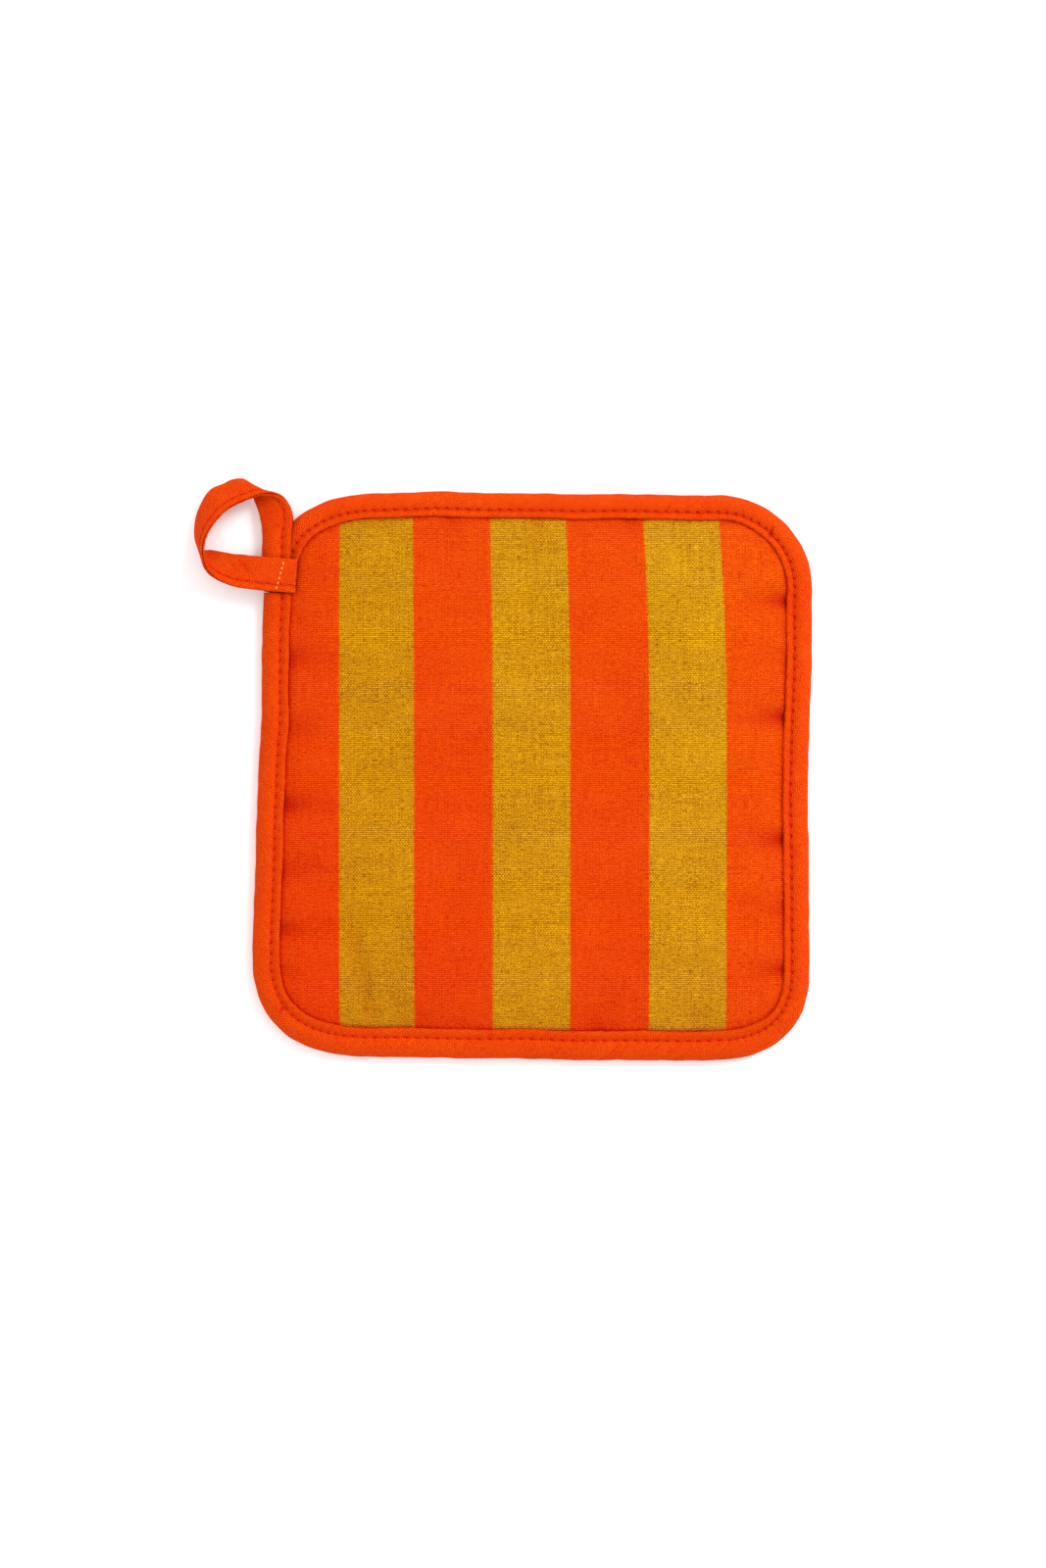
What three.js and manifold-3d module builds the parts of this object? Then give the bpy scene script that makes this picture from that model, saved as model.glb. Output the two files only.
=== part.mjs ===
// A square padded pot holder with a hanging loop, in millimetres.
// It lies on its back face: +Z is up through its thickness, +Y points to the edge with the loop
// at its left end, and the origin is the centre of the back face.
import * as THREE from 'three';
import { mergeVertices } from 'three/addons/utils/BufferGeometryUtils.js';
import Module from 'manifold-3d';

const wasm = await Module();
wasm.setup();

// Driving dimensions: the pad.
const padWidth = 200;
const padHeight = 206;
const cornerRadius = 33;
const clothThickness = 0.7;
const rimFilling = 0.65; // each filling layer where the seam squeezes it flat
const waddingThickness = 4.6;
const crownSlope = 20; // how far in from the binding the crown levels off

// Driving dimensions: the binding tape and the loop made from its free end.
const tapeThickness = 1.2;
const bindingWidth = 10;
const tapeWidth = 12;
const foldRadius = 2.4; // of the tape's fold round the pad's edge
const strapStart = 43; // below the top edge, where the binding becomes the loop's strap
const sleeveEnd = 9; // below the top edge, where the strap closes past the pad's corner

// Driving dimensions: the seams.
const seamSetback = 2.7; // from the tape's inner edge to its stitches
const threadWidth = 0.6;
const threadHeight = 0.4;
const threadClearance = 0.2;

// Driving dimensions: the crease that the loop turns on.
const clearance = 0.3; // between neighbouring layers
const creaseTurn = 15; // degrees between the crease and the pad's left side
const creaseOffset = 1; // from the pad's corner
const creaseRise = 1.1; // above the middle of the strap
const creaseGap = 2.3; // left free on each side of the crease

// How finely curves are divided.
const cornerSegments = 7;
const crownSegments = 4;
const stationSegments = 4; // along the tape, for each of its stations

// Heights of the layers, from the back up.
const rimBase = tapeThickness + clearance;
const backRimTop = rimBase + clothThickness;
const feltBase = clothThickness + clearance;
const feltRimBase = backRimTop + clearance;
const feltTop = feltRimBase + rimFilling;
const waddingBase = feltTop + clearance;
const waddingRimTop = waddingBase + rimFilling;
const waddingTop = waddingBase + waddingThickness;
const frontRimBase = waddingRimTop + clearance;
const frontRimTop = frontRimBase + clothThickness;
const frontLeafBase = frontRimTop + clearance;
const edgeHeight = frontLeafBase + tapeThickness;
const padTop = waddingTop + clearance + clothThickness;
const strapMiddle = frontLeafBase + tapeThickness / 2;
const tailMiddle = edgeHeight + clearance + tapeThickness / 2;

// Insets from the pad's outer edge.
const layerInset = tapeThickness + clearance;
const crownInset = bindingWidth + clearance;
const trayInset = crownInset + clothThickness;
const fillingInset = trayInset + clearance;
const seamInset = bindingWidth - seamSetback;

const left = -padWidth / 2;
const top = padHeight / 2;
const beyond = 50; // more than any cut has to reach

// Corners snap to a fine grid, so that faces at one height meet exactly.
const grid = 1 / 1024;

function solid(geometry) {
  const corners = geometry.getAttribute('position').array;
  corners.forEach((value, i) => { corners[i] = Math.round(value / grid) * grid; });
  const bare = new THREE.BufferGeometry();
  bare.setAttribute('position', geometry.getAttribute('position'));
  if (geometry.index) bare.setIndex(geometry.index);
  const merged = mergeVertices(bare);
  return new wasm.Manifold(new wasm.Mesh({
    numProp: 3,
    vertProperties: merged.getAttribute('position').array,
    triVerts: new Uint32Array(merged.index.array),
  }));
}

function named(name, body, colour, roughness) {
  const mesh = body.getMesh();
  const geometry = new THREE.BufferGeometry();
  geometry.setAttribute('position', new THREE.BufferAttribute(mesh.vertProperties, 3));
  geometry.setIndex(new THREE.BufferAttribute(mesh.triVerts, 1));
  geometry.computeVertexNormals();
  const material = new THREE.MeshStandardMaterial({ color: colour, roughness, metalness: 0 });
  const result = new THREE.Mesh(geometry, material);
  result.name = name;
  return result;
}

// The pad's rounded outline, set in by a distance.
function outline(inset) {
  const x = padWidth / 2 - inset;
  const y = padHeight / 2 - inset;
  const radius = Math.max(cornerRadius - inset, 1);
  const quarter = Math.PI / 2;
  const shape = new THREE.Shape();
  shape.absarc(x - radius, y - radius, radius, 0, quarter);
  shape.absarc(radius - x, y - radius, radius, quarter, 2 * quarter);
  shape.absarc(radius - x, radius - y, radius, 2 * quarter, 3 * quarter);
  shape.absarc(x - radius, radius - y, radius, 3 * quarter, 4 * quarter);
  shape.closePath();
  return shape;
}

// A flat layer between two heights.
function plate(inset, bottom, height) {
  const geometry = new THREE.ExtrudeGeometry(outline(inset), {
    depth: height - bottom, bevelEnabled: false, curveSegments: cornerSegments,
  });
  return solid(geometry.translate(0, 0, bottom));
}

// A block under a crown that curves in from its foot to a level top.
function crown(inset, bottom, foot, height) {
  const rise = height - foot;
  const skirt = 1;
  const geometry = new THREE.ExtrudeGeometry(outline(inset + crownSlope), {
    depth: foot - bottom + skirt,
    bevelSize: crownSlope,
    bevelThickness: rise,
    bevelSegments: crownSegments,
    curveSegments: cornerSegments,
  });
  const whole = solid(geometry.translate(0, 0, bottom - skirt));
  return whole.subtract(plate(-beyond, bottom - skirt - rise - 1, bottom));
}

function block(x0, x1, y0, y1, z0, z1) {
  const geometry = new THREE.BoxGeometry(x1 - x0, y1 - y0, z1 - z0);
  return solid(geometry.translate((x0 + x1) / 2, (y0 + y1) / 2, (z0 + z1) / 2));
}

// ---- The crease -------------------------------------------------------------------------------

const creaseAngle = THREE.MathUtils.degToRad(creaseTurn);
const creaseOut = new THREE.Vector3(-Math.cos(creaseAngle), Math.sin(creaseAngle), 0);
const creasePoint = creaseOut.clone().multiplyScalar(cornerRadius + creaseOffset)
  .add(new THREE.Vector3(left + cornerRadius, top - cornerRadius, strapMiddle + creaseRise));

// Everything further out than a distance from the crease.
function outsideCrease(distance) {
  const reach = 2 * (padWidth + padHeight);
  const geometry = new THREE.BoxGeometry(reach, reach, reach);
  geometry.translate(-reach / 2 - distance, 0, 0);
  geometry.rotateZ(-creaseAngle);
  return solid(geometry.translate(creasePoint.x, creasePoint.y, 0));
}

// ---- The tape from the strap, round the loop, to its sewn end ----------------------------------

// Along the tape: its stitched edge, from the pad's top left corner, and the direction from there
// across the tape to its folded edge. Places along the tape are counted in these stations.
const tapeStations = [
  { edge: [bindingWidth, -strapStart - 1, strapMiddle], across: [-1, 0, 0] },
  { edge: [bindingWidth, -32, strapMiddle], across: [-1, 0, 0] },
  { edge: [bindingWidth, -21, strapMiddle], across: [-1, 0, 0] },
  { edge: [bindingWidth, -10, strapMiddle + 0.1], across: [-0.98, -0.15, -0.1] },
  { edge: [bindingWidth - 1.6, -2.8, strapMiddle + 1], across: [-0.94, -0.1, -0.33] },
  { edge: [0.3, -0.8, strapMiddle + 2.4], across: [-0.66, 0.33, -0.67] },
  { edge: [-8.9, -4.2, strapMiddle + 3.2], across: [-0.47, 0.53, -0.7] },
  { edge: [-16.5, -10.4, strapMiddle + 4], across: [-0.38, 0.6, -0.72] },
  { edge: [-20.8, -18.1, strapMiddle + 5.4], across: [-0.32, 0.34, -0.88] },
  { edge: [-20.9, -26.1, tailMiddle + 3.9], across: [-0.1, 0.45, -0.88] },
  { edge: [-16.8, -31.4, tailMiddle + 2.1], across: [0.03, 0.84, -0.54] },
  { edge: [-8.6, -34.8, tailMiddle + 0.8], across: [-0.02, 0.96, -0.22] },
  { edge: [0, -35.8, tailMiddle], across: [0, 1, 0] },
  { edge: [bindingWidth - 4, -36.3, tailMiddle], across: [0.03, 1, 0] },
  { edge: [bindingWidth + 1.8, -36.7, tailMiddle + 0.1], across: [0.07, 1, 0] },
];
const lastStation = tapeStations.length - 1;
const wrapEnd = 3; // the tape still wraps the pad
const strapEnd = 6; // past the crease
const tailStart = 11.5; // coming down onto the pad
const seamStart = 0.25; // the stitches stop short of both ends
const seamEnd = lastStation - 0.25;

const edgeCurve = new THREE.CatmullRomCurve3(
  tapeStations.map(({ edge: [x, y, z] }) => new THREE.Vector3(left + x, top + y, z)),
);
const acrossCurve = new THREE.CatmullRomCurve3(
  tapeStations.map(({ across }) => new THREE.Vector3(...across).normalize()),
);

function tapeWidthAt(station) {
  const opened = THREE.MathUtils.smoothstep(station, wrapEnd, strapEnd);
  return THREE.MathUtils.lerp(bindingWidth, tapeWidth, opened);
}

// A point of the tape: a place along it, a distance in from its stitched edge, and a height off
// its middle.
function tapePoint(station, distance, height) {
  const t = station / lastStation;
  const across = acrossCurve.getPoint(t).normalize();
  const normal = edgeCurve.getTangent(t).cross(across).normalize();
  return edgeCurve.getPoint(t).addScaledVector(across, distance).addScaledVector(normal, height);
}

// A length of the tape, or of a narrower or thinner strip in it.
function strip(from, to, sideways, heights) {
  const geometry = new THREE.BoxGeometry(1, 1, 1, (to - from) * stationSegments, 2, 1);
  const positions = geometry.getAttribute('position');
  for (let i = 0; i < positions.count; i += 1) {
    const station = THREE.MathUtils.lerp(from, to, positions.getX(i) + 0.5);
    const [near, far] = sideways(station);
    const distance = THREE.MathUtils.lerp(near, far, positions.getY(i) + 0.5);
    const height = THREE.MathUtils.lerp(heights[0], heights[1], positions.getZ(i) + 0.5);
    const point = tapePoint(station, distance, height);
    positions.setXYZ(i, point.x, point.y, point.z);
  }
  return solid(geometry);
}

const half = tapeThickness / 2;
const turning = 1.4; // more clearance beside the thread, where the tape twists
const tongueNest = 0.1; // how far the strap's tongue lies inside the sleeve that it grows from
const threadTop = half - threadClearance / 2;
const grooveFloor = threadTop - threadHeight - turning * threadClearance;
const threadSide = threadWidth / 2;

function groove(from, to) {
  const side = threadSide + turning * threadClearance;
  return strip(from, to, () => [seamSetback - side, seamSetback + side], [grooveFloor, half + 1]);
}

function tape(from, to) {
  return strip(from, to, (station) => [0, tapeWidthAt(station)], [-half, half]);
}

function tapeThread(from, to) {
  const sides = [seamSetback - threadSide, seamSetback + threadSide];
  return strip(from, to, () => sides, [threadTop - threadHeight, threadTop]);
}

const outsidePart = (body) => body.intersect(outsideCrease(creaseGap));
const padPart = (body) => body.subtract(outsideCrease(-creaseGap));

// ---- The pad's layers --------------------------------------------------------------------------

// The back cloth drops from under the binding to lie level with it.
function backPanel() {
  const tray = plate(crownInset, 0, backRimTop).add(plate(layerInset, rimBase, backRimTop));
  return tray.subtract(plate(trayInset, clothThickness, backRimTop + 1));
}

function insulatingFelt() {
  return plate(fillingInset, feltBase, feltTop).add(plate(layerInset, feltRimBase, feltTop));
}

function wadding() {
  const raised = crown(fillingInset, waddingBase, waddingRimTop, waddingTop);
  return raised.add(plate(layerInset, waddingBase, waddingRimTop));
}

// The front cloth runs flat under the binding and then up over the wadding.
function frontPanel() {
  const outside = crown(crownInset, frontRimBase, frontRimTop, padTop);
  const inside = crown(trayInset, frontRimBase - 1, frontRimBase, padTop - clothThickness);
  return outside.add(plate(layerInset, frontRimBase, frontRimTop)).subtract(inside);
}

// ---- The binding -------------------------------------------------------------------------------

// The corner where the strap takes over from the binding.
function strapCorner(gap) {
  return block(left - beyond, left + bindingWidth + gap, top - strapStart - gap, top + beyond, -1, edgeHeight + 1);
}

function ring(nearInset, farInset, bottom, height) {
  return plate(nearInset, bottom, height).subtract(plate(farInset, bottom - 1, height + 1));
}

const threadInset = seamInset - threadSide;
const grooveInset = threadInset - threadClearance;
const grooveDepth = threadHeight + 1.5 * threadClearance;

function edgeBinding() {
  const rounded = new THREE.ExtrudeGeometry(outline(foldRadius), {
    depth: edgeHeight - 2 * foldRadius,
    bevelSize: foldRadius,
    bevelThickness: foldRadius,
    bevelSegments: 4,
    curveSegments: cornerSegments,
  });
  const outside = solid(rounded.translate(0, 0, foldRadius));
  const fold = outside.subtract(plate(tapeThickness, tapeThickness, frontLeafBase));
  const open = fold.subtract(plate(bindingWidth, -1, edgeHeight + 1));
  const grooveWidth = threadWidth + 2 * threadClearance;
  const grooves = ring(grooveInset, grooveInset + grooveWidth, edgeHeight - grooveDepth, edgeHeight + 1)
    .add(ring(grooveInset, grooveInset + grooveWidth, -1, grooveDepth));
  return open.subtract(grooves).subtract(strapCorner(clearance));
}

function seamThread(bottom) {
  const whole = ring(threadInset, threadInset + threadWidth, bottom, bottom + threadHeight);
  return whole.subtract(strapCorner(clearance));
}

// ---- The loop ----------------------------------------------------------------------------------

// The strap folds round the pad's left edge like the binding, and closes past the corner.
function strapSleeve() {
  const profile = new THREE.Shape();
  profile.moveTo(bindingWidth, 0);
  profile.lineTo(foldRadius, 0);
  profile.absarc(foldRadius, foldRadius, foldRadius, -Math.PI / 2, -Math.PI, true);
  profile.absarc(foldRadius, edgeHeight - foldRadius, foldRadius, Math.PI, Math.PI / 2, true);
  profile.lineTo(bindingWidth, edgeHeight);
  profile.lineTo(bindingWidth, frontLeafBase);
  profile.lineTo(tapeThickness, frontLeafBase);
  profile.lineTo(tapeThickness, tapeThickness);
  profile.lineTo(bindingWidth, tapeThickness);
  profile.closePath();
  const geometry = new THREE.ExtrudeGeometry(profile, {
    depth: strapStart - sleeveEnd, bevelEnabled: false, curveSegments: 4,
  });
  geometry.rotateX(Math.PI / 2);
  return solid(geometry.translate(left, top - sleeveEnd, 0));
}

function strap() {
  const tongueHalf = half - tongueNest;
  const tongue = strip(1, strapEnd, (station) => [0, tapeWidthAt(station)], [-tongueHalf, tongueHalf]);
  return padPart(strapSleeve().add(tongue).subtract(groove(0, strapEnd)));
}

// The end of the tape, laid back on the pad's edge, with a slot for the tack stitches.
const tackSetback = 5.2; // from the tape's cut end
const tackMargin = 1; // from the tack to the tape's folded edge
const cutEnd = tapeStations.at(-1).edge;
const tackX = left + cutEnd[0] - tackSetback;
const tackNear = top + cutEnd[1] + seamSetback + threadWidth + 2 * threadClearance;
const tackFar = top + cutEnd[1] + tapeWidth - tackMargin;
const tackTop = tailMiddle + threadTop;

// The tack's thread, or with a margin all round it the slot that it lies in.
function tack(margin) {
  const side = threadSide + margin;
  const lowest = tackTop - threadHeight - margin;
  const highest = tackTop + 4 * margin;
  return block(tackX - side, tackX + side, tackNear - margin, tackFar + margin, lowest, highest);
}

function tailEnd() {
  const sewn = tape(tailStart, lastStation).subtract(groove(tailStart, seamEnd));
  return padPart(sewn.subtract(tack(threadClearance)));
}

function hangingLoop() {
  return outsidePart(tape(wrapEnd, lastStation).subtract(groove(wrapEnd, seamEnd)));
}

// ---- The assembly ------------------------------------------------------------------------------

const orange = '#ef4608';
const stripe = '#e8700c';
const filling = '#efe9dc';
const felt = '#c9c6bf';
const thread = '#f24c12';

const potHolder = new THREE.Group();
potHolder.add(
  named('back_panel', backPanel(), orange, 0.95),
  named('insulating_felt', insulatingFelt(), felt, 1),
  named('wadding', wadding(), filling, 1),
  named('front_panel', frontPanel(), stripe, 0.95),
  named('edge_binding', edgeBinding(), orange, 0.9),
  named('loop_strap', strap(), orange, 0.9),
  named('hanging_loop', hangingLoop(), orange, 0.9),
  named('loop_end', tailEnd(), orange, 0.9),
  named('front_seam_thread', seamThread(edgeHeight - threadClearance / 2 - threadHeight), thread, 0.7),
  named('back_seam_thread', seamThread(threadClearance / 2), thread, 0.7),
  named('strap_seam_thread', padPart(tapeThread(seamStart, strapEnd)), thread, 0.7),
  named('loop_seam_thread', outsidePart(tapeThread(wrapEnd, seamEnd)), thread, 0.7),
  named('loop_end_seam_thread', padPart(tapeThread(tailStart, seamEnd - seamStart)), thread, 0.7),
  named('loop_tack_thread', tack(0), thread, 0.7),
);

export default potHolder;
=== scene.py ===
"""A square padded pot holder with a hanging loop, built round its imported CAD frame."""
import math

import bmesh
import bpy
import numpy as np
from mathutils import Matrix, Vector
from mathutils.geometry import delaunay_2d_cdt


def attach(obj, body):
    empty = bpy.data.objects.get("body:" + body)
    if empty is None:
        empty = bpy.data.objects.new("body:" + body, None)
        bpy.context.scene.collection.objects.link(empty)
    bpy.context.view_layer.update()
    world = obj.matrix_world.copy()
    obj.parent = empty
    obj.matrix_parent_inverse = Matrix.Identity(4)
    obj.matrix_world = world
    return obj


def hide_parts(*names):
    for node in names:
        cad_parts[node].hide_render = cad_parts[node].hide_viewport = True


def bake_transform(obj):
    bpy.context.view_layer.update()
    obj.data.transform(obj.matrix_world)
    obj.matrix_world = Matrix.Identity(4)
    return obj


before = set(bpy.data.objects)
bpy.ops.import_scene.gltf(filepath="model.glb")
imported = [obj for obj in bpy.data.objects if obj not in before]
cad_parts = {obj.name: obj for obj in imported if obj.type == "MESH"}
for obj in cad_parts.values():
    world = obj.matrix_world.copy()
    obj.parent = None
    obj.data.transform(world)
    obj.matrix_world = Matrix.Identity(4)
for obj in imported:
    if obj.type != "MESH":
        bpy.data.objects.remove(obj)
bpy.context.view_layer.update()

MM = 0.001

# ---- Driving sizes, in millimetres --------------------------------------------------------------

# The pad's outline: its four corners before rounding, clockwise from the top left, and their radii.
CORNERS = [(-97.0, 103.8), (102.5, 102.3), (100.6, -104.8), (-103.6, -102.3)]
RADII = [38, 35, 30, 34]
OUTLINE_STEP = 0.6  # between points along the outline
ARC_POINTS = 60  # in each rounded corner, before they are spaced evenly
CURVE_POINTS = 400  # in a section's curve, before they are spaced evenly

# Where the hand-sewn edge strays from that outline: side, place along it, how far out, and width.
STRAYS = [
    ("right", -3, -1.1, 26), ("left", 20, -0.5, 9), ("top", -66, -0.7, 10), ("top", -32, 0.7, 11),
    ("bottom", -78, -1.0, 13), ("bottom", 80, -1.0, 13),
]
FULL_CORNER = (-90, 92)  # the corner beside the strap, which is fuller than its arc
FULL_CORNER_RISE = 1.2
HAND_WAVER = 0.22  # how far the edge wanders everywhere

TAPE_LEAF = 0.8  # one leaf of the folded tape
BINDING_WIDTH = 10
TAPE_WIDTH = 12.5  # of the closed tape that makes the loop
SIDE_WIDTHS = {"top": 0.94, "right": 0.96, "bottom": 1.1, "left": 1.02}  # of the binding, side by side
SEAM_INSET = 7.3  # from the pad's outer edge
STITCH_PITCH = 3.8
STITCH_LENGTH = 2.7
THREAD_DIAMETER = 0.5

CLOTH = 0.7
RIM_BOTTOM, RIM_TOP = 1.5, 5.3  # the layers squeezed flat inside the binding
CROWN_TOP = 9.0
CROWN_START = 8.2  # from the pad's edge
CROWN_REACH = 7.8  # how quickly the crown levels off, in from there
FELT_RIM, FELT_MORE = 0.6, 1.2  # the felt, squeezed at the rim, and how much thicker it is inside
LAYER_GAP = 0.2
FILL_CLEARANCE, FILL_RIM = 0.5, 0.7  # the wadding below the front cloth, and squeezed at the rim
PANEL_INSET = 2.0  # the cloths' raw edges, inside the fold of the binding
LATTICE_STEP = 2.4  # between points of the cloths, before the front one is made finer
HELD_INSET = 10.6  # the binding holds the front cloth from its edge to here
SWELL_PRESSURE = 0.25
SWELL_FRAMES = 20
SWELL_LIMIT = 1.2  # how far the simulation may move a point

STRIPE_EDGES = [-70.0, -43.0, -14.6, 13.4, 42.2, 70.0]
WEAVE_PITCH = (0.525, 0.735)  # from thread to thread, across and up the cloth

# Dimples where the binding gathers the front cloth: side, place along it, depth and width.
PUCKERS = [
    ("left", 42.5, 1.1, 3.2), ("left", -10.5, 1.5, 3.4), ("left", -56.0, 1.2, 3.0),
    ("left", -34.0, 0.7, 3.2), ("left", 17.0, 0.7, 4.0), ("left", -71.0, 0.5, 3.0),
    ("right", 63.5, 1.5, 2.6), ("right", 21.2, 1.5, 2.8), ("right", -23.3, 1.4, 2.8),
    ("right", -70.7, 1.2, 2.8), ("right", 42.0, 0.5, 3.0), ("right", -48.0, 0.5, 3.0),
    ("top", -30.0, 0.5, 3.5), ("top", 36.0, 0.5, 3.5), ("top", 2.0, 0.4, 3.0),
    ("bottom", -40.0, 0.5, 4.0), ("bottom", 24.0, 0.7, 4.0), ("bottom", 60.0, 0.5, 3.5),
]

# Soft dents in the open cloth: from where, to where, depth and width.
DENTS = [
    ((-66, -52), (-58, -92), 0.7, 3.4), ((-50, -78), (-46, -96), 0.4, 3.0), ((-92, 60), (-74, 50), 0.5, 3.5),
]

# ---- Small helpers ------------------------------------------------------------------------------


def smoothstep(x, low, high):
    t = np.clip((x - low) / (high - low), 0, 1)
    return t * t * (3 - 2 * t)


def waves(x, wavelengths, seed):
    """A smooth wandering line between about -1 and 1, made of sine waves with seeded phases."""
    phases = np.random.default_rng(seed).uniform(0, 2 * math.pi, len(wavelengths))
    total = sum(np.sin(2 * math.pi * x / w + p) for w, p in zip(wavelengths, phases))
    return total / len(wavelengths)


def bell(x, centre, width):
    return np.exp(-(((x - centre) / width) ** 2))


def smooth_curve(points, count):
    """count points on a Catmull-Rom curve through the given points, evenly spaced by knot."""
    p = np.asarray(points, float)
    p = np.vstack([2 * p[0] - p[1], p, 2 * p[-1] - p[-2]])
    at = np.linspace(0, len(p) - 3 - 1e-9, count)
    i = at.astype(int)
    t = (at - i)[:, None]
    a, b, c, d = p[i], p[i + 1], p[i + 2], p[i + 3]
    return 0.5 * (2 * b + (c - a) * t + (2 * a - 5 * b + 4 * c - d) * t**2 + (3 * b - a - 3 * c + d) * t**3)


def evenly(points, count):
    """The same open line with count points, evenly spaced along it."""
    steps = np.linalg.norm(np.diff(points, axis=0), axis=1)
    along = np.concatenate([[0], np.cumsum(steps)])
    at = np.linspace(0, along[-1], count)
    return np.stack([np.interp(at, along, points[:, k]) for k in range(points.shape[1])], axis=1)


def mesh_object(name, vertices, faces, uvs=None):
    """A smooth-shaded mesh from points in millimetres; uvs has one pair for each vertex."""
    mesh = bpy.data.meshes.new(name)
    mesh.from_pydata((np.asarray(vertices) * MM).tolist(), [], faces)
    mesh.update()
    mesh.polygons.foreach_set("use_smooth", [True] * len(mesh.polygons))
    if uvs is not None:
        corner = np.empty(len(mesh.loops), int)
        mesh.loops.foreach_get("vertex_index", corner)
        layer = mesh.uv_layers.new(name="UVMap")
        layer.data.foreach_set("uv", np.asarray(uvs, float)[corner].ravel())
    thing = bpy.data.objects.new(name, mesh)
    bpy.context.scene.collection.objects.link(thing)
    return thing


def tube_faces(rings, around, closed_along=False):
    """Quads between rings of points, each ring closed on itself."""
    faces = []
    for i in range(rings if closed_along else rings - 1):
        here, there = i * around, ((i + 1) % rings) * around
        for j in range(around):
            k = (j + 1) % around
            faces.append((here + j, here + k, there + k, there + j))
    return faces


def cap_faces(ring, leaf_points):
    """Quads that close the end of a folded section: its outer points run back as inner ones."""
    last = 2 * leaf_points - 1
    return [(ring + j, ring + j + 1, ring + last - j - 1, ring + last - j) for j in range(leaf_points - 1)]


def face_outwards(thing):
    mesh = thing.data
    work = bmesh.new()
    work.from_mesh(mesh)
    bmesh.ops.recalc_face_normals(work, faces=work.faces)
    work.to_mesh(mesh)
    work.free()
    return thing


# ---- The pad's outline --------------------------------------------------------------------------


def corner_arc(k):
    """The centre, the radius, and the outward directions of the sides before and after corner k."""
    before, here, after = (np.array(CORNERS[i % 4], float) for i in (k - 1, k, k + 1))
    u = (here - before) / np.linalg.norm(here - before)
    v = (after - here) / np.linalg.norm(after - here)
    turn = math.acos(float(u @ v))
    right = np.array([u[1], -u[0]])
    centre = here - u * RADII[k] * math.tan(turn / 2) + right * RADII[k]
    return centre, RADII[k], -right, np.array([-v[1], v[0]])


def directions(first, last, count):
    """Unit directions turning clockwise from one to the other."""
    start = math.atan2(first[1], first[0])
    turn = math.acos(float(np.clip(first @ last, -1, 1)))
    angles = start - np.linspace(0, turn, count)
    return np.stack([np.cos(angles), np.sin(angles)], axis=1)


def waver(points, normals):
    """How far the hand-sewn edge strays outwards from its rounded outline."""
    x, y = points[:, 0], points[:, 1]
    sides = {
        "right": (y, normals[:, 0] > 0.95),
        "left": (y, normals[:, 0] < -0.95),
        "top": (x, normals[:, 1] > 0.7),
        "bottom": (x, smoothstep(-normals[:, 1], 0.3, 0.9)),
    }
    total = FULL_CORNER_RISE * bell(x, FULL_CORNER[0], 8) * bell(y, FULL_CORNER[1], 12)
    for side, place, out, width in STRAYS:
        run, facing = sides[side]
        total = total + out * bell(run, place, width) * facing
    along = np.arange(len(points)) * OUTLINE_STEP
    return total + HAND_WAVER * waves(along, (37, 53, 89), 3)


def pad_outline():
    """Points clockwise round the pad from the foot of its top left corner, and outward normals."""
    points, normals = [], []
    for k in range(4):
        centre, radius, first, last = corner_arc(k)
        arc = directions(first, last, ARC_POINTS)
        points.extend(centre + radius * arc)
        normals.extend(arc)
    points.append(points[0])
    normals.append(normals[0])
    joined = np.hstack([np.array(points), np.array(normals)])
    steps = np.linalg.norm(np.diff(joined[:, :2], axis=0), axis=1)
    count = round(steps.sum() / OUTLINE_STEP)
    along = np.concatenate([[0], np.cumsum(steps)])
    at = np.linspace(0, along[-1], count, endpoint=False)
    even = np.stack([np.interp(at, along, joined[:, c]) for c in range(4)], axis=1)
    normals = even[:, 2:] / np.linalg.norm(even[:, 2:], axis=1)[:, None]
    points = even[:, :2]
    return points + normals * waver(points, normals)[:, None], normals


OUTLINE, OUTWARD = pad_outline()
PERIMETER = len(OUTLINE) * OUTLINE_STEP


def on_outline(along):
    """Points and outward normals at distances along the outline."""
    at = np.mod(along, PERIMETER)
    knots = np.arange(len(OUTLINE) + 1) * OUTLINE_STEP
    closed = np.vstack([np.hstack([OUTLINE, OUTWARD]), np.hstack([OUTLINE, OUTWARD])[:1]])
    found = np.stack([np.interp(at, knots, closed[:, c]) for c in range(4)], axis=1)
    return found[:, :2], found[:, 2:]


def outline_length_at(x, y):
    """How far along the outline its nearest point to (x, y) is."""
    return float(np.argmin(np.linalg.norm(OUTLINE - np.array([x, y]), axis=1))) * OUTLINE_STEP


# ---- The binding --------------------------------------------------------------------------------

# The tape's outer surface where it wraps the edge, from its front edge round to its back edge:
# inset from the pad's outer edge, and height.
WRAP_PROFILE = [
    (9.75, 5.75), (10.05, 6.1), (10.0, 6.6), (9.4, 6.95), (8.5, 6.75), (7.3, 6.15), (6.2, 6.6),
    (4.7, 6.9), (2.9, 6.45), (1.2, 5.3), (0.15, 3.7), (0.15, 2.5), (1.0, 1.0), (2.6, 0.25),
    (4.7, 0.05), (6.3, 0.25), (7.3, 0.75), (8.3, 0.25), (9.3, 0.05), (9.95, 0.3), (10.1, 0.75), (9.9, 1.1),
]
EDGE_MIDDLE = 3.5  # the height of the pad's outermost edge
LOWEST = 0.02  # nothing hangs below the back face
STRAP_ROOM = (0.95, 5.2)  # heights that the binding keeps to inside the strap
LEAF_POINTS = 44
WRAP = evenly(smooth_curve(WRAP_PROFILE, CURVE_POINTS), LEAF_POINTS)
FRONT = smoothstep(WRAP[:, 1], 2.0, 5.0)  # 1 on the front leaf, 0 on the back one


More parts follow.
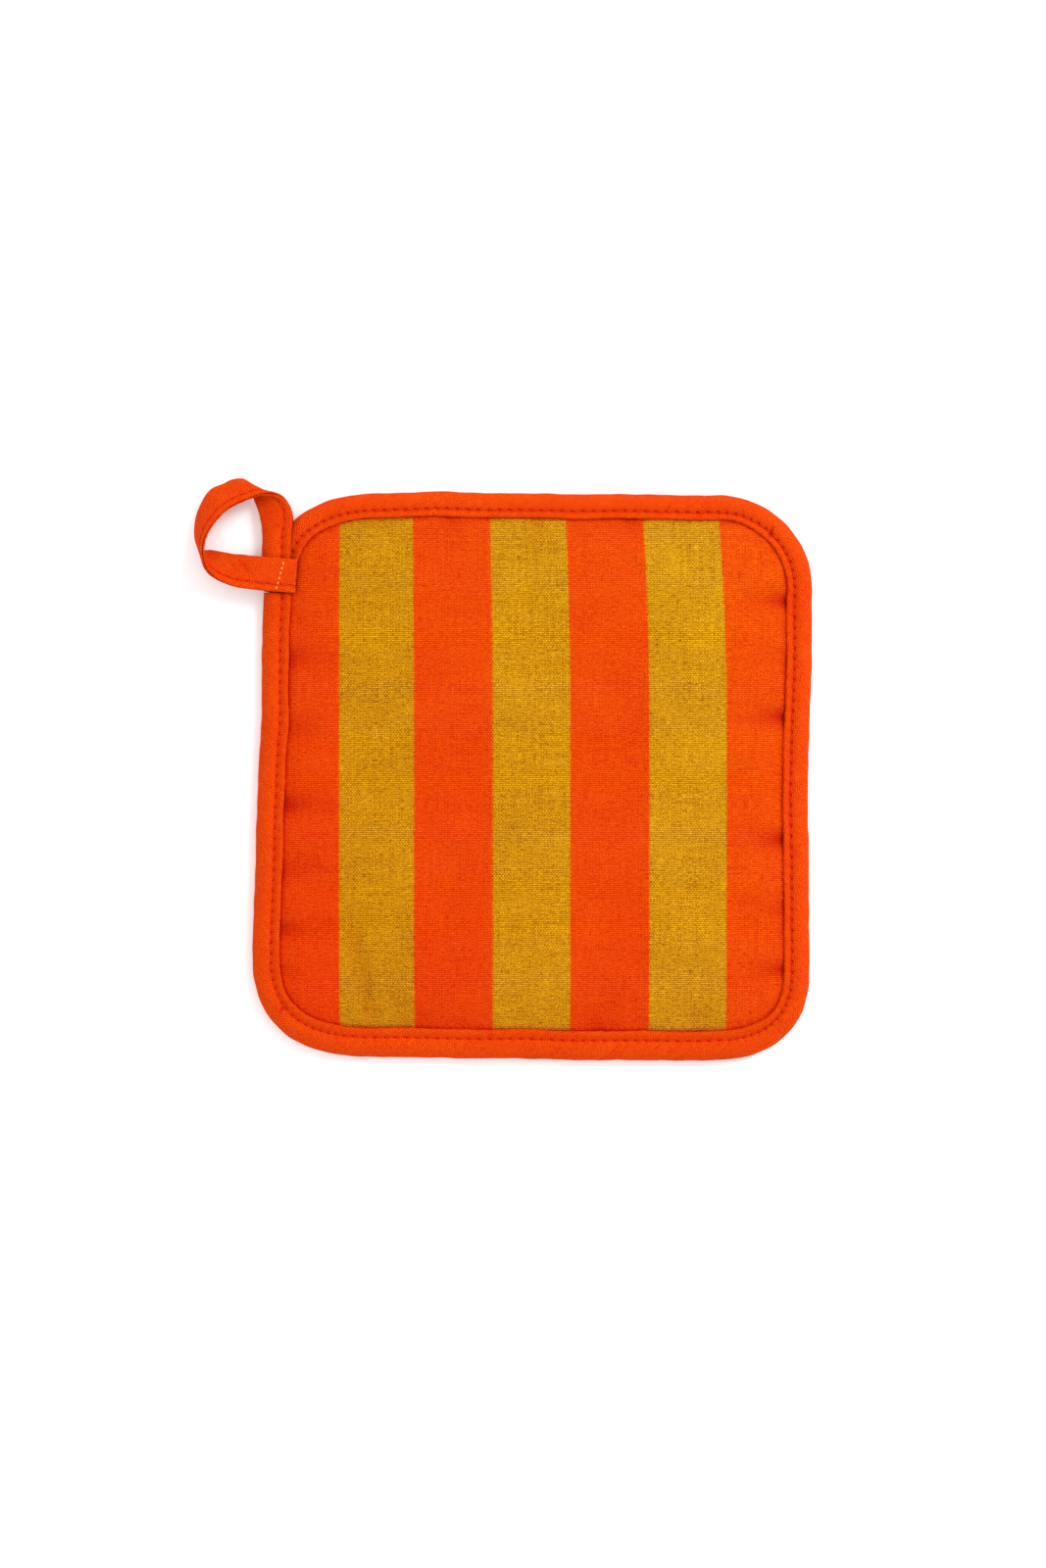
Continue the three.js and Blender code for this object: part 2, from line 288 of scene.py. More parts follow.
def seam_columns(distance, height):
    """Where along a section's points its front and its back seam lie."""
    off = np.abs(distance - (BINDING_WIDTH - SEAM_INSET))
    middle = (height.max() + height.min()) / 2
    return [float(np.argmin(off + 100 * (side * (height - middle) < 0))) for side in (1, -1)]


WRAP_SEAMS = seam_columns(BINDING_WIDTH - WRAP[:, 0], WRAP[:, 1])
STRAP_START = 67.5  # the height on the pad where the strap takes over, under the loop's sewn end
BINDING_START = outline_length_at(-97.2, STRAP_START + 4.5)
BINDING_END = PERIMETER + outline_length_at(-98.0, STRAP_START)
PLEATS = [((85.8, 88.1), 0.9), ((-87.4, -82.4), 1.0)]  # where the lip folds at a corner, and how deep


def sewn_relief(along, inset, front):
    """How the seam shapes the tape: hollows at the needle holes and drag lines across the roll. The
    bells are the seam, the lip inside it and the roll outside it."""
    hole = 0.5 + 0.5 * np.cos(2 * math.pi * along / STITCH_PITCH)
    seam = bell(inset, SEAM_INSET, 0.9)
    lip = bell(inset, 9.2, 0.8)
    roll = bell(inset, 4.2, 2.2)
    strength = 0.65 + 0.35 * waves(along, (41, 67, 113), 11)
    slant = along + 0.9 * inset
    drag = waves(slant, (7.6, 11.4, 17.0), 5) * strength
    pinch = np.cos(2 * math.pi * (along + 0.5 * inset) / STITCH_PITCH)
    relief = -0.25 * hole * seam - 0.09 * pinch * lip + 0.2 * drag * roll
    relief = relief - 0.4 * hole**4 * bell(inset, SEAM_INSET - 0.3, 0.7)
    return relief * (0.35 + 0.65 * front)


def pleat_relief(along, inset):
    total = np.zeros(np.broadcast(along, inset).shape)
    for place, depth in PLEATS:
        centre = outline_length_at(*place) + 0.5 * (inset - 6)
        across = bell(inset, 6.0, 1.9)
        total = total - depth * bell(along, centre, 0.9) * across
        total = total + 0.5 * depth * bell(along, centre + 2.2, 1.3) * across
    return total


def width_factor(along):
    """How wide the binding was folded at each distance along, about 1: each side differs a little."""
    _, normals = on_outline(along)
    x, y = normals[:, 0], normals[:, 1]
    sides = [(y, "top"), (x, "right"), (-y, "bottom"), (-x, "left")]
    shares = [np.maximum(way, 0) ** 2 * SIDE_WIDTHS[side] for way, side in sides]
    return sum(shares)


def binding_section(along):
    """The tape's outer surface at each distance along: insets and heights, one row for each."""
    a = along[:, None]
    inset = np.broadcast_to(WRAP[None, :, 0], (len(along), LEAF_POINTS)).copy()
    inset *= width_factor(along)[:, None]
    height = np.broadcast_to(WRAP[None, :, 1], inset.shape).copy()
    outwards = np.where(FRONT > 0.5, 1, -1)[None]
    height += (sewn_relief(a, inset, FRONT[None]) + pleat_relief(a, inset)) * outwards
    inner = smoothstep(inset, 6.0, 10.0)
    inset += inner * (0.22 * waves(a, (23, 41), 8) + 0.1 * waves(a, (STITCH_PITCH, 5.3), 9))
    inset += (1 - smoothstep(inset, 0, 3)) * 0.14 * waves(a, (9, 13, 21), 10)
    return inset, np.maximum(height, LOWEST)


def leaf_inside(outer):
    """The tape's inner surface: its outer one moved in by the leaf's thickness."""
    along = np.gradient(outer, axis=1)
    along /= np.maximum(np.linalg.norm(along, axis=2), 1e-9)[:, :, None]
    inward = np.stack([-along[:, :, 1], along[:, :, 0]], axis=2)
    return outer + inward * TAPE_LEAF


def wrapped_points(base, normal, section):
    """Points in space of sections that stand on the outline."""
    inset, height = section[:, :, 0], section[:, :, 1]
    plan = base[:, None, :] - normal[:, None, :] * inset[:, :, None]
    return np.concatenate([plan, height[:, :, None]], axis=2)


def developed(outer):
    """How far round the tape each point of its section is."""
    steps = np.linalg.norm(np.diff(outer, axis=1), axis=2)
    return np.concatenate([np.zeros((len(outer), 1)), np.cumsum(steps, axis=1)], axis=1)


def folded_mesh(name, outer, inner, along, seams, opening, crease_shade):
    """A closed mesh of a folded tape from its outer and inner points at each place along it; seams
    are the columns of its front and back stitches, whose holes are painted dark where opening is 1;
    the last argument is the shade painted on each outer point, 0 to 1, in creases and bends."""
    rings = np.concatenate([outer, inner[:, ::-1]], axis=1)
    count = rings.shape[1]
    across = developed(outer)
    across = np.concatenate([across, across[:, ::-1]], axis=1)
    uvs = np.stack([np.broadcast_to(along[:, None], across.shape), across], axis=2)
    faces = tube_faces(len(rings), count)
    faces += cap_faces(0, LEAF_POINTS)
    faces += [f[::-1] for f in cap_faces((len(rings) - 1) * count, LEAF_POINTS)]
    tape = mesh_object(name, rings.reshape(-1, 3), faces, uvs.reshape(-1, 2))
    columns = np.arange(LEAF_POINTS)
    spacing = across[:, LEAF_POINTS - 1:LEAF_POINTS] / (LEAF_POINTS - 1)
    front_off, back_off = columns - seams[0][:, None], seams[1][:, None] - columns
    off_seam = np.where(np.abs(front_off) < np.abs(back_off), front_off, back_off) * spacing
    off_seam = np.concatenate([off_seam, off_seam[:, ::-1]], axis=1)
    crease_shade = np.concatenate([crease_shade, crease_shade[:, ::-1]], axis=1)
    kept = {"off_seam": off_seam, "open_holes": np.repeat(opening, count), "crease_shade": crease_shade}
    for attribute, values in kept.items():
        tape.data.attributes.new(attribute, "FLOAT", "POINT").data.foreach_set("value", values.ravel())
    return face_outwards(tape)


def inside_strap(points):
    """The same points, pressed together where the strap wraps round them."""
    x, y, z = (points[..., k] for k in range(3))
    pressed = (1 - smoothstep(x, -89.5, -84)) * smoothstep(y, 64, 71)
    low, high = STRAP_ROOM
    flat = low + z * (high - low) / (2 * EDGE_MIDDLE)
    return np.stack([x, y, z + (flat - z) * pressed], axis=-1)


def make_binding():
    along = np.arange(BINDING_START, BINDING_END, OUTLINE_STEP)
    section = np.stack(binding_section(along), axis=2)
    base, normal = on_outline(along)
    outer = wrapped_points(base, normal, section)
    inner = wrapped_points(base, normal, leaf_inside(section))
    for surface in (outer, inner):
        surface[along < 60] = inside_strap(surface[along < 60])
    seams = [np.full(len(along), column) for column in WRAP_SEAMS]
    # Painted shade in the creases of the pleats at the corners.
    crease_shade = np.clip(-pleat_relief(along[:, None], section[:, :, 0]), 0, 1) * FRONT
    tape = folded_mesh("binding_tape", outer, inner, along, seams, np.ones(len(along)), crease_shade)
    return tape, outer, along


# ---- The strap and loop -------------------------------------------------------------------------

# The binding's tape runs on past the corner: its stitched edge, measured from the left end of the
# pad's top edge, and the direction from there across to its fold. Places count in these stations.
LOOP_CORNER = np.array([-98.1, 103.0, 0.0])
LOOP_STATIONS = [
    ((10.0, -24.0, EDGE_MIDDLE), (-1, 0.03, 0)),
    ((10.2, -15.0, 3.6), (-1, 0.02, 0)),
    ((10.85, -9.8, 5.0), (-0.98, -0.1, -0.08)),
    ((10.0, -5.4, 6.3), (-0.96, -0.13, -0.22)),
    ((7.7, -2.2, 7.2), (-0.9, -0.02, -0.42)),
    ((4.7, -0.9, 7.8), (-0.8, 0.14, -0.57)),
    ((0.3, -0.8, 8.5), (-0.65, 0.5, -0.57)),
    ((-4.2, -2.3, 8.9), (-0.61, 0.6, -0.52)),
    ((-8.9, -4.3, 9.3), (-0.53, 0.63, -0.57)),
    ((-13.2, -7.0, 9.8), (-0.48, 0.7, -0.53)),
    ((-16.5, -10.4, 10.4), (-0.43, 0.7, -0.57)),
    ((-19.2, -14.3, 11.0), (-0.41, 0.62, -0.67)),
    ((-20.8, -18.1, 11.4), (-0.37, 0.47, -0.8)),
    ((-21.3, -22.2, 11.5), (-0.3, 0.43, -0.85)),
    ((-20.7, -26.3, 11.2), (-0.17, 0.5, -0.85)),
    ((-19.3, -29.2, 10.4), (-0.05, 0.7, -0.71)),
    ((-16.8, -31.5, 9.7), (0.03, 0.84, -0.54)),
    ((-13.0, -33.4, 8.9), (0.02, 0.92, -0.36)),
    ((-8.6, -34.7, 8.3), (-0.02, 0.97, -0.2)),
    ((0.0, -35.8, 7.9), (0, 1, 0)),
    ((6.0, -36.3, 7.9), (0.03, 1, 0)),
    ((11.8, -36.8, 8.0), (0.07, 1, 0)),
]
LOOP_STEP = 0.5  # between rings along the loop
LOOP_CURVE_POINTS = 2000
STRAP_CLOSES = (18.5, 31.5)  # along the tape, as it passes the pad's corner

# The stitches that tack the loop's end down: where their row starts and ends, and how many.
TACK_START, TACK_END = (-90.3, 77.8), (-93.2, 67.2)
TACK_STITCHES, TACK_LENGTH = 6, 1.3
TACK_DIAMETER = 1.6 * THREAD_DIAMETER
TACK_ZONE = 18  # from the loop's cut end, where the stitches look for its surface
WRINKLE = 18.6  # from the loop's cut end to the wrinkle across it
BEND = (29.0, 6.0)  # where along the loop it bends over, and for how long

# The closed tape's outer surface: distance from its stitched edge, and height off its middle.
CLOSED_HALF = [
    (0.0, 0.3), (0.1, 0.7), (0.7, 0.86), (1.7, 0.76), (2.7, 0.56), (3.7, 0.76), (5.6, 0.86),
    (8.9, 0.84), (11.1, 0.78), (12.1, 0.52),
]
CLOSED_PROFILE = CLOSED_HALF + [(TAPE_WIDTH, 0.0)] + [(d, -h) for d, h in CLOSED_HALF[::-1]]
CLOSED = evenly(smooth_curve(CLOSED_PROFILE, CURVE_POINTS), LEAF_POINTS)
CLOSED_SEAMS = seam_columns(CLOSED[:, 0], CLOSED[:, 1])
CLOSED_LEAF = 0.72
STRAP_EXTRA = 0.08  # how much wider the strap is than the binding, as a share


def wrinkle(from_end, d, further):
    """The soft wrinkle that runs slantwise over the loop's tail."""
    return bell(from_end - 0.8 * (d - 8), WRINKLE + further, 1.5) * bell(d, 8.3, 3.0)


def loop_section(opening, along):
    """Sections from the open wrap, opening 1, to the closed tape, opening 0: distances and heights."""
    inset, height = binding_section(BINDING_END + along)
    a = along[:, None]
    fuller = 1 + STRAP_EXTRA * smoothstep(a, 2, 12)
    wrap = np.stack([(BINDING_WIDTH - inset) * fuller, height - EDGE_MIDDLE], axis=2)
    d, h = CLOSED[None, :, 0], CLOSED[None, :, 1]
    hole = 0.5 + 0.5 * np.cos(2 * math.pi * (BINDING_END + a) / STITCH_PITCH)
    pinch = np.cos(2 * math.pi * a / STITCH_PITCH + 0.8)
    relief = -0.12 * hole * bell(d, 2.7, 0.8) - 0.06 * pinch * bell(d, 0.8, 0.8)
    relief = relief + 0.09 * waves(a + 0.8 * d, (6.1, 9.7, 14.0), 21) * bell(d, 7, 3.4)
    from_end = along[-1] - a
    relief = relief - 0.45 * wrinkle(from_end, d, 0) + 0.3 * wrinkle(from_end, d, 2.6)
    frayed = d + 0.16 * waves(a, (7.0, 12.0, 19.0), 22) * smoothstep(d, 8, 12)
    closed = np.stack([np.broadcast_to(frayed, relief.shape), h + np.sign(h) * relief], axis=2)
    m = opening[:, None, None]
    return wrap * m + closed * (1 - m)


def make_loop():
    foot, outward = (found[0] for found in on_outline(np.array([BINDING_END])))
    start = [*(foot - outward * BINDING_WIDTH), EDGE_MIDDLE]
    edges = LOOP_CORNER + np.array([e for e, _ in LOOP_STATIONS], float)
    edge = smooth_curve(np.vstack([start, edges]), LOOP_CURVE_POINTS)
    across = smooth_curve([(*outward, 0)] + [c for _, c in LOOP_STATIONS], LOOP_CURVE_POINTS)
    both = np.hstack([edge, across])
    steps = np.linalg.norm(np.diff(edge, axis=0), axis=1)
    run = np.concatenate([[0], np.cumsum(steps)])
    along = np.linspace(0, run[-1], round(run[-1] / LOOP_STEP))
    both = np.stack([np.interp(along, run, both[:, c]) for c in range(6)], axis=1)
    edge, across = both[:, :3], both[:, 3:]
    across /= np.linalg.norm(across, axis=1)[:, None]
    forward = np.gradient(edge, axis=0)
    forward -= (forward * across).sum(axis=1)[:, None] * across
    forward /= np.linalg.norm(forward, axis=1)[:, None]
    up = np.cross(forward, across)
    opening = 1 - smoothstep(along, *STRAP_CLOSES)
    section = loop_section(opening, along)
    # The two leaves part at their cut edges.
    parted = 1 - 0.36 * np.exp(-np.maximum(CLOSED[:, 0], 0) / 0.9)
    opened = opening[:, None, None]
    leaf = TAPE_LEAF * opened + CLOSED_LEAF * parted[None, :, None] * (1 - opened)

    def in_space(section):
        d, h = section[:, :, :1], section[:, :, 1:]
        return edge[:, None] + across[:, None] * d + up[:, None] * h

    tangent = np.gradient(section, axis=1)
    tangent /= np.maximum(np.linalg.norm(tangent, axis=2), 1e-9)[:, :, None]
    inside = section + np.stack([tangent[:, :, 1], -tangent[:, :, 0]], axis=2) * leaf
    outer, inner = in_space(section), in_space(inside)
    seams = [w * opening + c * (1 - opening) for w, c in zip(WRAP_SEAMS, CLOSED_SEAMS)]
    # Painted shade in the wrinkle across the tail and where the loop bends over.
    wrinkled = 0.55 * wrinkle(along[-1] - along[:, None], section[:, :, 0], 0)
    bent = 0.3 * bell(along, *BEND)[:, None] * bell(CLOSED[None, :, 0], 8, 5)
    on_top = np.arange(LEAF_POINTS) < LEAF_POINTS / 2
    crease_shade = np.clip(wrinkled + bent, 0, 1) * on_top
    tape = folded_mesh("loop_tape", outer, inner, BINDING_END + along, seams, opening, crease_shade)
    return tape, outer, along


# ---- Stitches -----------------------------------------------------------------------------------

STITCH_RINGS, STITCH_SIDES = 9, 8


def stitch(middle, forward, up, length, thickness):
    """One stitch, its ends bent down into their holes: its points and its pairs for the twist."""
    u = np.linspace(-1, 1, STITCH_RINGS)
    radius = thickness / 2 * np.sqrt(np.maximum(1 - np.abs(u) ** 5, 0.02))
    lift = 0.08 - 0.36 * np.abs(u) ** 3
    angle = np.arange(STITCH_SIDES) * 2 * math.pi / STITCH_SIDES
    side = np.cross(forward, up)
    spine = middle + forward * (u * length / 2)[:, None] + up * lift[:, None]
    round_it = side * np.cos(angle)[:, None] + up * np.sin(angle)[:, None]
    points = spine[:, None] + round_it[None] * radius[:, None, None]
    uvs = np.stack(np.broadcast_arrays(u[:, None] * length / 2, angle[None] / (2 * math.pi)), axis=2)
    return points.reshape(-1, 3), uvs.reshape(-1, 2)


def stitches(name, places, length=STITCH_LENGTH, thickness=THREAD_DIAMETER):
    """All the stitches of a seam as one piece; places are (middle, forward, up)."""
    points, uvs, faces = [], [], []
    around = STITCH_SIDES
    for k, (middle, forward, up) in enumerate(places):
        forward = forward / np.linalg.norm(forward)
        up = up - forward * (up @ forward)
        p, uv = stitch(middle, forward, up / np.linalg.norm(up), length, thickness)
        base = k * STITCH_RINGS * around
        faces += [tuple(base + i for i in f) for f in tube_faces(STITCH_RINGS, around)]
        faces.append(tuple(base + i for i in range(around)))
        faces.append(tuple(base + (STITCH_RINGS - 1) * around + i for i in reversed(range(around))))
        points.append(p)
        uvs.append(uv + [k * 3.1, 0])
    return face_outwards(mesh_object(name, np.vstack(points), faces, np.vstack(uvs)))


def seam_places(outer, along, columns, first, last):
    """Where the stitches of a seam lie, on the columns of a tape's surface points."""
    numbers = np.arange(math.ceil(first / STITCH_PITCH), math.floor(last / STITCH_PITCH))
    places = []
    for middle in (numbers + 0.5) * STITCH_PITCH:
        i = int(np.clip(np.searchsorted(along, middle), 2, len(along) - 3))
        column = columns[i]
        forward = outer[i + 2, column] - outer[i - 2, column]
        across = outer[i, column + 1] - outer[i, column - 1]
        places.append((outer[i, column], forward, np.cross(forward, across)))
    return places


# ---- The cloths and fillings --------------------------------------------------------------------


def lattice(inset, step):
    """A flat triangle mesh that fills the pad's outline, set in: its points and triangles."""
    stride = max(round(step / OUTLINE_STEP), 1)
    rim = (OUTLINE - OUTWARD * inset)[::stride]
    low, high = rim.min(axis=0), rim.max(axis=0)
    xs = np.arange(low[0], high[0], step)
    ys = np.arange(low[1], high[1], step)
    grid = np.stack(np.meshgrid(xs, ys), axis=2).reshape(-1, 2)
    grid = grid[from_edge(grid)[0] > inset + 0.7 * step]
    corners = [Vector(c) for c in np.vstack([rim, grid])]
    found = delaunay_2d_cdt(corners, [], [list(range(len(rim)))[::-1]], 1, 1e-4)
    return np.array([tuple(c) for c in found[0]]), [tuple(f) for f in found[2]]


def from_edge(points):
    """How far in from the pad's outline each point is, and how far along it."""
    distance, nearest = np.empty(len(points)), np.empty(len(points), int)
    sparse = OUTLINE[::2]
    for first in range(0, len(points), 2000):
        some = points[first:first + 2000]
        gap = np.linalg.norm(some[:, None] - sparse[None], axis=2)
        nearest[first:first + 2000] = gap.argmin(axis=1) * 2
        distance[first:first + 2000] = gap.min(axis=1)
    offset = ((OUTLINE[nearest] - points) * OUTWARD[nearest]).sum(axis=1)
    return np.where(offset < 0, -distance, distance), nearest * OUTLINE_STEP


def gathers(points, inset):
    """How much the binding's seam draws the front cloth down beside it."""
    x, y = points[:, 0], points[:, 1]
    sides = {"left": (x < -70, y), "right": (x > 70, y), "top": (y > 72, x), "bottom": (y < -72, x)}
    depth = np.zeros(len(points))
    for side, place, deep, wide in PUCKERS:
        here, along = sides[side]
        spread = wide * (1 + 0.05 * np.maximum(inset - 10, 0))
        depth += deep * here * bell(along, place, spread) * np.exp(-np.maximum(inset - 11, 0) / 9)
    return depth


def dents(points):
    """How deep the open cloth is dented at each point, along short lines that taper off at both ends."""
    depth = np.zeros(len(points))
    for first, last, deep, wide in DENTS:
        first, last = np.array(first, float), np.array(last, float)
        length = np.linalg.norm(last - first)
        way = (last - first) / length
        along = (points - first) @ way
        aside = (points - first) @ np.array([way[1], -way[0]])
        depth += deep * bell(aside, 0, wide) * smoothstep(along, -3, 6) * smoothstep(length - along, -3, 6)
    return depth


def crown_height(points):
    """The front cloth's height over the wadding."""
    inset, along = from_edge(points)
    past = np.maximum(inset - CROWN_START * width_factor(along), 0)
    height = RIM_TOP + (CROWN_TOP - RIM_TOP) * (1 - np.exp(-past / CROWN_REACH))
    height -= gathers(points, inset) + dents(points)
    near = np.exp(-past / 8) * smoothstep(past, 1.8, 4)
    height += 0.22 * waves(along, (9.1, 13.7, 22.0), 31) * near
    height += 0.1 * waves(points[:, 0] + 0.4 * points[:, 1], (41, 67), 32) * smoothstep(inset, 15, 40)
    height += 0.1 * waves(points[:, 1] - 0.3 * points[:, 0], (37, 71), 33) * smoothstep(inset, 15, 40)
    return height


def rim_edges(triangles):
    """The edges that belong to one triangle only, in that triangle's direction."""
    seen = set()
    for f in triangles:
        seen.update(zip(f, f[1:] + f[:1]))
    return [(a, b) for a, b in seen if (b, a) not in seen]


def layer(name, flat, faces, top, bottom):
    """A closed sheet or slab over a lattice, between two heights at each point."""
    upper = inside_strap(np.column_stack([flat, top]))
    lower = inside_strap(np.column_stack([flat, bottom]))
    n = len(flat)
    all_faces = list(faces) + [tuple(i + n for i in f[::-1]) for f in faces]
    all_faces += [(b, a, a + n, b + n) for a, b in rim_edges(faces)]
    return face_outwards(mesh_object(name, np.vstack([upper, lower]), all_faces))


def swollen(flat, faces, height):
    """The front cloth after a short cloth simulation of the wadding pressing up under it."""
    sheet = mesh_object("swelling", np.column_stack([flat, height]), faces)
    inset, along = from_edge(flat)
    held = sheet.vertex_groups.new(name="held")
    for i in np.flatnonzero(inset < HELD_INSET * width_factor(along)):
        held.add([int(i)], 1.0, "ADD")
    cloth = sheet.modifiers.new("swelling", "CLOTH")
    physics = cloth.settings
    physics.quality = 6
    physics.mass = 0.3
    physics.tension_stiffness = physics.compression_stiffness = 12
    physics.bending_stiffness = 0.35
    physics.vertex_group_mass = "held"
    physics.shrink_min = physics.shrink_max = -0.004
    physics.use_pressure = True
    physics.uniform_pressure_force = SWELL_PRESSURE
    physics.effector_weights.gravity = 0
    cloth.collision_settings.use_self_collision = False
    cloth.point_cache.frame_start, cloth.point_cache.frame_end = 1, SWELL_FRAMES
    scene = bpy.context.scene
    for number in range(1, SWELL_FRAMES + 1):
        scene.frame_set(number)
    settled = sheet.evaluated_get(bpy.context.evaluated_depsgraph_get())
    after = np.empty(len(flat) * 3)
    settled.to_mesh().vertices.foreach_get("co", after)
    settled.to_mesh_clear()
    scene.frame_set(1)
    start = np.column_stack([flat, height])
    moved = after.reshape(-1, 3) / MM - start
    far = np.linalg.norm(moved, axis=1)
    moved *= np.minimum(1, SWELL_LIMIT / np.maximum(far, 1e-9))[:, None]
    done = start + moved
    sheet.modifiers.clear()
    sheet.data.vertices.foreach_set("co", (done * MM).ravel())
    finer = sheet.modifiers.new("finer", "SUBSURF")
    finer.levels = 1
    smooth = sheet.evaluated_get(bpy.context.evaluated_depsgraph_get())
    mesh = smooth.to_mesh()
    points = np.empty(len(mesh.vertices) * 3)
    mesh.vertices.foreach_get("co", points)
    points = points.reshape(-1, 3) / MM
    faces = [tuple(f.vertices) for f in mesh.polygons]
    smooth.to_mesh_clear()
    bpy.data.objects.remove(sheet, do_unlink=True)
    return points[:, :2], faces, points[:, 2]


def make_layers():
    flat, faces = lattice(PANEL_INSET, LATTICE_STEP)
    flat, faces, top = swollen(flat, faces, crown_height(flat))
    front = layer("front_cloth", flat, faces, top, top - CLOTH)
    inset, along = from_edge(flat)
    # Painted shade on the front cloth: in the gathers and dents, beside the binding, and a dark line under
    # its lip.
    hollow_shade = 0.6 * gathers(flat, inset) + 0.3 * dents(flat) + 0.2 * np.exp(-np.maximum(inset - 10, 0) / 3)
    hollow_shade = np.maximum(hollow_shade, 0.9 - 0.9 * smoothstep(inset / width_factor(along), 10.4, 11.3))
    hollow_shade = np.clip(np.tile(hollow_shade, 2), 0, 1)
    front.data.attributes.new("hollow_shade", "FLOAT", "POINT").data.foreach_set("value", hollow_shade)
    flat, faces = lattice(PANEL_INSET, LATTICE_STEP)
    inset, along = from_edge(flat)
    inside = smoothstep(inset, 10.0, 13.0)
    back_floor = RIM_BOTTOM * (1 - inside) + 0.12 * inside * (1 + waves(along, (17, 29, 43), 41))
    back = layer("back_cloth", flat, faces, back_floor + CLOTH, back_floor)
    felt_bottom = back_floor + CLOTH + LAYER_GAP
    felt_top = felt_bottom + FELT_RIM + FELT_MORE * inside
    felt = layer("felt_layer", flat, faces, felt_top, felt_bottom)
    crown = crown_height(flat) - CLOTH - FILL_CLEARANCE
    fill_top = np.maximum(crown, felt_top + FILL_RIM)
    fill = layer("wadding_fill", flat, faces, fill_top, felt_top + LAYER_GAP)
    return front, back, felt, fill


# ---- Materials ----------------------------------------------------------------------------------


class Nodes:
    """Short calls for making a material's nodes; sockets may be given as numbers."""

    def __init__(self, name):
        self.material = bpy.data.materials.new(name)
        self.material.use_nodes = True
        self.tree = self.material.node_tree
        self.shader = self.tree.nodes["Principled BSDF"]

    def put(self, socket, value):
        if isinstance(value, bpy.types.NodeSocket):
            self.tree.links.new(value, socket)
        else:
            socket.default_value = value

    def math(self, operation, *values):
        node = self.tree.nodes.new("ShaderNodeMath")
        node.operation = operation
        for socket, value in zip(node.inputs, values):
            self.put(socket, value)
        return node.outputs[0]

    def plus(self, a, b):
        return self.math("ADD", a, b)

    def minus(self, a, b):
        return self.math("SUBTRACT", a, b)

    def times(self, a, b):
        return self.math("MULTIPLY", a, b)

    def size_of(self, value):
        return self.math("ABSOLUTE", value)

    def split(self, vector):
        node = self.tree.nodes.new("ShaderNodeSeparateXYZ")
        self.put(node.inputs[0], vector)
        return node.outputs[:3]

    def join(self, x, y, z=0.0):
        node = self.tree.nodes.new("ShaderNodeCombineXYZ")
        for socket, value in zip(node.inputs, (x, y, z)):
            self.put(socket, value)
        return node.outputs[0]

    def noise(self, x, y, detail=2.0, seed=0.0, roughness=0.5):
        """Noise between 0 and 1 over two coordinates, its blobs about one unit wide."""
        node = self.tree.nodes.new("ShaderNodeTexNoise")
        node.noise_dimensions = "3D"
        node.inputs["Scale"].default_value = 1.0
        node.inputs["Detail"].default_value = detail
        node.inputs["Roughness"].default_value = roughness
        self.put(node.inputs["Vector"], self.join(x, y, seed))
        return node.outputs[0]

    def ranged(self, value, low, high, to_low, to_high):
        node = self.tree.nodes.new("ShaderNodeMapRange")
        for socket, v in zip(node.inputs, (value, low, high, to_low, to_high)):
            self.put(socket, v)
        return node.outputs[0]

    def mix(self, factor, a, b, kind="MIX"):
        node = self.tree.nodes.new("ShaderNodeMix")
        node.data_type = "RGBA"
        node.blend_type = kind
        self.put(node.inputs[0], factor)
        for socket, value in zip((node.inputs[6], node.inputs[7]), (a, b)):
            self.put(socket, (*value, 1) if isinstance(value, tuple) else value)
        return node.outputs[2]

    def ramp(self, value, stops):
        node = self.tree.nodes.new("ShaderNodeValToRGB")
        self.put(node.inputs[0], value)
        elements = node.color_ramp.elements
        while len(elements) < len(stops):
            elements.new(0.5)
        for element, (place, colour) in zip(elements, stops):
            element.position = place
            element.color = (*colour, 1)
        return node.outputs[0]

    def millimetres(self):
        """The point's place in the pad's frame, in millimetres."""
        node = self.tree.nodes.new("ShaderNodeTexCoord")
        x, y, z = self.split(node.outputs["Object"])
        return [self.math("MULTIPLY", v, 1000.0) for v in (x, y, z)]

    def along_across(self):
        node = self.tree.nodes.new("ShaderNodeUVMap")
        return self.split(node.outputs[0])[:2]

    def attribute(self, name):
        node = self.tree.nodes.new("ShaderNodeAttribute")
        node.attribute_name = name
        return node.outputs["Fac"]

    def bump(self, height, depth):
        node = self.tree.nodes.new("ShaderNodeBump")
        node.inputs["Distance"].default_value = depth * MM
        node.inputs["Strength"].default_value = 1.0
        self.put(node.inputs["Height"], height)
        self.put(self.shader.inputs["Normal"], node.outputs[0])

    def finish(self, colour, roughness, sheen=0.0, sheen_tint=(1, 1, 1), specular=0.12):
        self.put(self.shader.inputs["Base Color"], colour)
        self.put(self.shader.inputs["Roughness"], roughness)
        self.shader.inputs["Specular IOR Level"].default_value = specular
        self.shader.inputs["Sheen Weight"].default_value = sheen
        self.shader.inputs["Sheen Roughness"].default_value = 0.6
        self.shader.inputs["Sheen Tint"].default_value = (*sheen_tint, 1)
        return self.material


def linear(red, green, blue):
    """A colour in the shader's linear values, from how bright it looks on a screen, 0 to 255."""
    shares = [c / 255 for c in (red, green, blue)]
    return tuple(c / 12.92 if c < 0.0404 else ((c + 0.055) / 1.055) ** 2.4 for c in shares)


